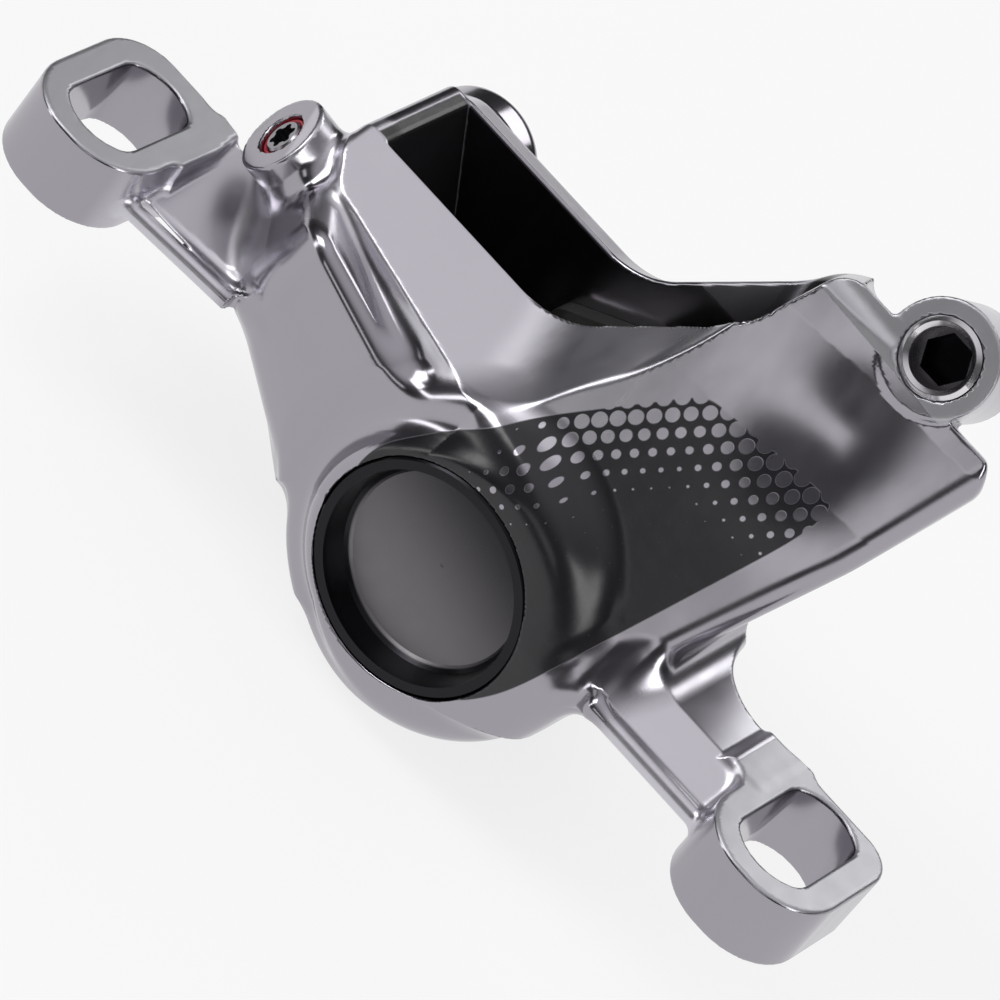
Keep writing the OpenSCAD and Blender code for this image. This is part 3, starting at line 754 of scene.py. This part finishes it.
def fading_dots(x, z):
    """Mask of rows of dots that grow towards two edges of the panel and fade towards the cap."""
    u = x * 0.70 + z * 0.71
    w = x * -0.71 + z * 0.70
    row = (w * (1 / DOT_PITCH)).math("FLOOR")
    shift = row.math("PINGPONG", 1.0) * (DOT_PITCH / 2)
    across = ((u + shift) * (1 / DOT_PITCH)).math("FRACT") - 0.5
    along_row = (w * (1 / DOT_PITCH)).math("FRACT") - 0.5
    from_centre = distance(across, along_row)
    reach = edge_distance(x, z, *DOT_EDGE).most(z - DOT_EDGE_Z)
    size = (reach * 0.075 + 0.50).most(0.0).least(LARGEST_DOT) * x.above(3.0, 2.0)
    return (from_centre - size).below(0.0, 0.03)


def forged_metal():
    """Polished aluminium with a satin plate, matte machined faces and a black painted panel. The
    walls of the pad pocket are coloured black as painted shade.
    """
    m, tree, node = shader("forged_body", (0.5, 0.485, 0.52), 1, 0.2)
    place = place_in(tree)
    x, y, z = place
    aside = x.absolute()
    grain = noise(tree, 900, 4)
    cloud = noise(tree, 60, 3)
    scratch = noise(tree, 500, 2, (1, 1, 0.03))
    # Paint on the front of the panel, without the dots
    depth = over_plane(place, PANEL_POINT, PANEL_WAY)
    front = (depth * -1).least(y - FRONT_Y).below(3.0, 0.4)
    paint = panel_outline(x, z).below(0.0, 0.06) * front * fading_dots(x, z).inverse()
    # Satin plate beside the rim, between the spur and the crest
    plate = (z * -1 + y * PLATE_FALL + 11.2).below(0.0, 0.3)
    plate = plate * x.below(6.5, 3.5) * y.above(-0.6, 0.5)
    # Machined faces: the tops and the seats of the lugs, and the face round the bleed port
    on_lug = aside.above(29.8, 0.05)
    over_bleed = over_plane(place, BLEED, BLEED_AXIS)
    beyond_step = over_plane(place, STEP_POINT, -unit(STEP_WAY))
    bleed_face = over_bleed.above(-0.3, 0.08) * beyond_step.above(0.0, 0.03)
    machined = (z.above(6.35, 0.05) * on_lug).most(bleed_face).most(z.below(0.05, 0.02) * on_lug)
    # Satin arms
    arm = aside.above(21.5, 1.2) * aside.below(32.0, 1.0) * z.below(7.2, 0.3) * machined.inverse()
    # Painted shade: the walls of the pad pocket are coloured black, as the shade deep in the
    # opening
    pocket_shade = y.above(8.1, 0.08) * y.below(18.9, 0.08) * x.below(8.75, 0.1)
    pocket_shade = pocket_shade * x.above(-23.0, 0.1) * depth.below(-1.0, 0.3)
    colour = blend(tree, plate.most(arm), POLISHED, SATIN)
    colour = blend(tree, machined, colour, MACHINED)
    colour = blend(tree, paint, colour, PAINT)
    colour = blend(tree, pocket_shade, colour, POCKET_SHADE_BLACK)
    tree.links.new(colour, node.inputs["Base Color"])
    # The black paint and the painted shade in the pocket are both made non-metallic and a little
    # rougher
    paint_and_pocket_shade = paint.most(pocket_shade)
    tree.links.new(paint_and_pocket_shade.inverse().socket, node.inputs["Metallic"])
    rough = cloud * 0.06 + scratch * 0.10 + 0.10
    rough = rough + plate * 0.14 + arm * 0.14 + machined * 0.26 + paint_and_pocket_shade * 0.06
    tree.links.new(rough.socket, node.inputs["Roughness"])
    node.inputs["Specular IOR Level"].default_value = 0.5
    relief = grain * (plate * 0.6 + machined * 1.2 + paint_and_pocket_shade * 0.8 + 0.12) + scratch * 0.25
    bump(tree, node, relief, 0.012)
    return m


def black_cap():
    """Black anodised cap whose dished floor is satin grey, lighter low down and fading to black
    towards the top and left: a painted highlight.
    """
    m, tree, node = shader("black_cap", (0.02, 0.02, 0.022), 0.9, 0.3)
    x, y, z = place_in(tree)
    around = distance(x - BORE[0], z - BORE[1])
    satin_floor_and_highlight = around.below(7.75, 0.12) * y.above(-1.6, 0.1)
    # Painted highlight: the floor's grey fades to black towards the top and left, for a soft
    # highlight low on the floor
    satin_floor_and_highlight = satin_floor_and_highlight * (z + x * 0.3).below(1.0, 8.0)
    colour = blend(tree, satin_floor_and_highlight, (0.020, 0.019, 0.022), (0.20, 0.19, 0.20))
    tree.links.new(colour, node.inputs["Base Color"])
    grain = noise(tree, 700, 4)
    tree.links.new((grain * 0.1 + satin_floor_and_highlight * 0.16 + 0.2).socket, node.inputs["Roughness"])
    bump(tree, node, grain, 0.006)
    return m


def bleed_steel():
    """Bright ring whose socket is coloured darker with depth, down to black: painted shade."""
    bright = (0.72, 0.70, 0.72)
    m, tree, node = shader("bright_steel", bright, 1, 0.14)
    over_bleed = over_plane(place_in(tree), BLEED, BLEED_AXIS)
    # Painted shade: the colour darkens below the face and goes black deep in the socket
    socket_shade = over_bleed.below(-0.5, 0.4)
    colour = blend(tree, socket_shade, bright, (0.16, 0.15, 0.165))
    colour = blend(tree, over_bleed.below(-2.6, 0.2), colour, (0.01, 0.01, 0.012))
    tree.links.new(colour, node.inputs["Base Color"])
    grain = noise(tree, 900, 4)
    tree.links.new((grain * 0.08 + socket_shade * 0.12 + 0.12).socket, node.inputs["Roughness"])
    bump(tree, node, grain, 0.003)
    return m


# By the record's slots. The plain ones give colour, metallic, roughness, and the scale and the
# depth of the grain.
MATERIALS = {
    "forged_body": forged_metal(),
    "black_cap": black_cap(),
    "black_rubber": grained("black_rubber", (0.01, 0.01, 0.01), 0, 0.6, 500, 0.02),
    "piston_metal": grained("piston_metal", (0.6, 0.59, 0.57), 1, 0.28, 600, 0.005),
    "insulator": grained("insulator", (0.1, 0.085, 0.07), 0, 0.6, 400, 0.03),
    "pad_steel": grained("pad_steel", (0.05, 0.048, 0.045), 0.5, 0.45, 300, 0.02),
    "friction": grained("friction", (0.07, 0.055, 0.042), 0.1, 0.85, 180, 0.12, 0.2),
    "spring_steel": grained("spring_steel", (0.6, 0.59, 0.57), 1, 0.22, 500, 0.004),
    "pin_steel": grained("pin_steel", (0.42, 0.41, 0.4), 1, 0.3, 500, 0.006),
    "clip_steel": grained("clip_steel", (0.05, 0.05, 0.052), 0.8, 0.35, 500, 0.006),
    "bright_steel": bleed_steel(),
    "plug_steel": grained("plug_steel", (0.3, 0.29, 0.31), 1, 0.25, 800, 0.005),
    "red_rubber": grained("red_rubber", (0.42, 0.02, 0.035), 0, 0.4, 500, 0.01),
}


def paint_piece(obj, slot):
    """One material for a piece of this script's own, in the record's slot."""
    obj.data.materials.clear()
    obj.data.materials.append(MATERIALS[slot])


# The frame's own solids
for part in frame["record"]["subparts"]:
    for place in frame["nodes"][part["node"]].material_slots:
        place.material = MATERIALS[part["material_slot"]]

# ---------------------------------------------------------------- body
# Box and step of the grid, in millimetres
GRID_LOW = (-44, -9.5, -15.5)
GRID_HIGH = (44, 30, 42)
GRID_STEP = 0.25
points, faces, normals = surface(body_field, GRID_LOW, GRID_HIGH, GRID_STEP)
body = mesh_object("forged_caliper_body", points, faces, normals)
paint_piece(body, "forged_body")
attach(body, "caliper")
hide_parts("caliper_body")

# Leaf spring, a rigid copy of the frame's pad spring; the real one flattens as the pads close
leaf = frame["nodes"]["pad_spring"]
spring = bpy.data.objects.new("pad_leaf_spring", leaf.data.copy())
bpy.context.scene.collection.objects.link(spring)
spring.matrix_world = leaf.matrix_world.copy()
paint_piece(spring, "spring_steel")
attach(spring, "caliper")
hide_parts("pad_spring")
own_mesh(spring)

# ---------------------------------------------------------------- stage, light and camera
# Places in metres, lens and sensor in millimetres, the roll in degrees
LENS = 297.5
SENSOR = 36
CAMERA_AT = (0.11931, -0.47528, 0.36163)
CAMERA_AIM = (0.002903, 0.003876, 0.004252)
CAMERA_ROLL = 39.415
LAMPS_AIM = (0, 0.005, 0.01)

# Floor's height, half of its width, and the share of its own white in what the camera sees of it
FLOOR = -0.0145
FLOOR_HALF = 2
FLOOR_GLOW = 0.8

# Brightness of the surroundings by height: 0 is the horizon and all below it, 1 is straight up
ROOM = [(0.0, 0.06), (0.30, 0.04), (0.60, 0.09), (0.84, 0.60), (1.0, 0.82)]


def look_at(place, aim, roll=0.0):
    """Matrix of a camera or lamp at place that points at aim."""
    back = Vector(place) - Vector(aim)
    turn = back.to_track_quat("Z", "Y").to_matrix().to_4x4()
    spin = Matrix.Rotation(radians(roll), 4, "Z")
    return Matrix.Translation(Vector(place)) @ turn @ spin


camera_data = bpy.data.cameras.new("camera")
camera_data.sensor_width = SENSOR
camera_data.lens = LENS
camera_data.clip_start = 0.01
camera = bpy.data.objects.new("camera", camera_data)
bpy.context.scene.collection.objects.link(camera)
camera.matrix_world = look_at(CAMERA_AT, CAMERA_AIM, CAMERA_ROLL)
bpy.context.scene.camera = camera


def softbox(name, place, width, height, brightness):
    """Rectangular lamp that faces the object. At a brightness of 1 its face is plain white."""
    data = bpy.data.lights.new(name, "AREA")
    data.shape = "RECTANGLE"
    data.size = width
    data.size_y = height
    data.energy = brightness * pi * width * height
    lamp = bpy.data.objects.new(name, data)
    bpy.context.scene.collection.objects.link(lamp)
    lamp.matrix_world = look_at(place, LAMPS_AIM)


softbox("key", (-0.42, -0.26, 0.50), 0.26, 0.42, 5.0)
softbox("left strip", (-0.60, -0.50, 0.14), 0.10, 0.40, 4.0)
softbox("right strip", (0.62, -0.20, 0.26), 0.14, 0.45, 5.0)
softbox("back", (0.05, 0.60, 0.42), 0.50, 0.20, 3.0)
softbox("front", (0.16, -0.68, 0.25), 0.46, 0.13, 1.1)

# Surroundings: dark at the sides and pale above
world = bpy.data.worlds.new("world")
bpy.context.scene.world = world
world.use_nodes = True
tree = world.node_tree
room = tree.nodes["Background"]
room.inputs["Strength"].default_value = 1
direction = tree.nodes.new("ShaderNodeTexCoord")
split = tree.nodes.new("ShaderNodeSeparateXYZ")
ramp = tree.nodes.new("ShaderNodeValToRGB")
tree.links.new(direction.outputs["Generated"], split.inputs[0])
tree.links.new(split.outputs["Z"], ramp.inputs["Fac"])
tree.links.new(ramp.outputs["Color"], room.inputs["Color"])
while len(ramp.color_ramp.elements) < len(ROOM):
    ramp.color_ramp.elements.new(0.5)
for element, (height, level) in zip(ramp.color_ramp.elements, ROOM):
    element.position = height
    element.color = (level * 0.98, level * 0.965, level, 1)

bpy.context.scene.view_settings.view_transform = "Standard"

# White floor that takes the shadow. To the camera and in reflections it is partly its own white.
ROUND_THE_FLOOR = ((-1, -1), (1, -1), (1, 1), (-1, 1))
corners = [(x * FLOOR_HALF, y * FLOOR_HALF, FLOOR) for x, y in ROUND_THE_FLOOR]
floor_mesh = bpy.data.meshes.new("floor")
floor_mesh.from_pydata(corners, [], [(0, 1, 2, 3)])
floor = bpy.data.objects.new("floor", floor_mesh)
bpy.context.scene.collection.objects.link(floor)
floor_look, floor_tree, floor_shader = shader("floor", (0.95, 0.95, 0.955), 0, 0.9)
rays = floor_tree.nodes.new("ShaderNodeLightPath")
glow = floor_tree.nodes.new("ShaderNodeEmission")
glow.inputs["Color"].default_value = (1, 1, 1, 1)
glow.inputs["Strength"].default_value = 1
seen = Field(floor_tree, rays.outputs["Is Camera Ray"])
seen = seen.most(Field(floor_tree, rays.outputs["Is Glossy Ray"]))
seen = seen.most(Field(floor_tree, rays.outputs["Is Transmission Ray"])) * FLOOR_GLOW
floor_mix = floor_tree.nodes.new("ShaderNodeMixShader")
floor_tree.links.new(seen.socket, floor_mix.inputs[0])
floor_tree.links.new(floor_shader.outputs[0], floor_mix.inputs[1])
floor_tree.links.new(glow.outputs[0], floor_mix.inputs[2])
floor_tree.links.new(floor_mix.outputs[0], floor_tree.nodes["Material Output"].inputs["Surface"])
floor.data.materials.append(floor_look)
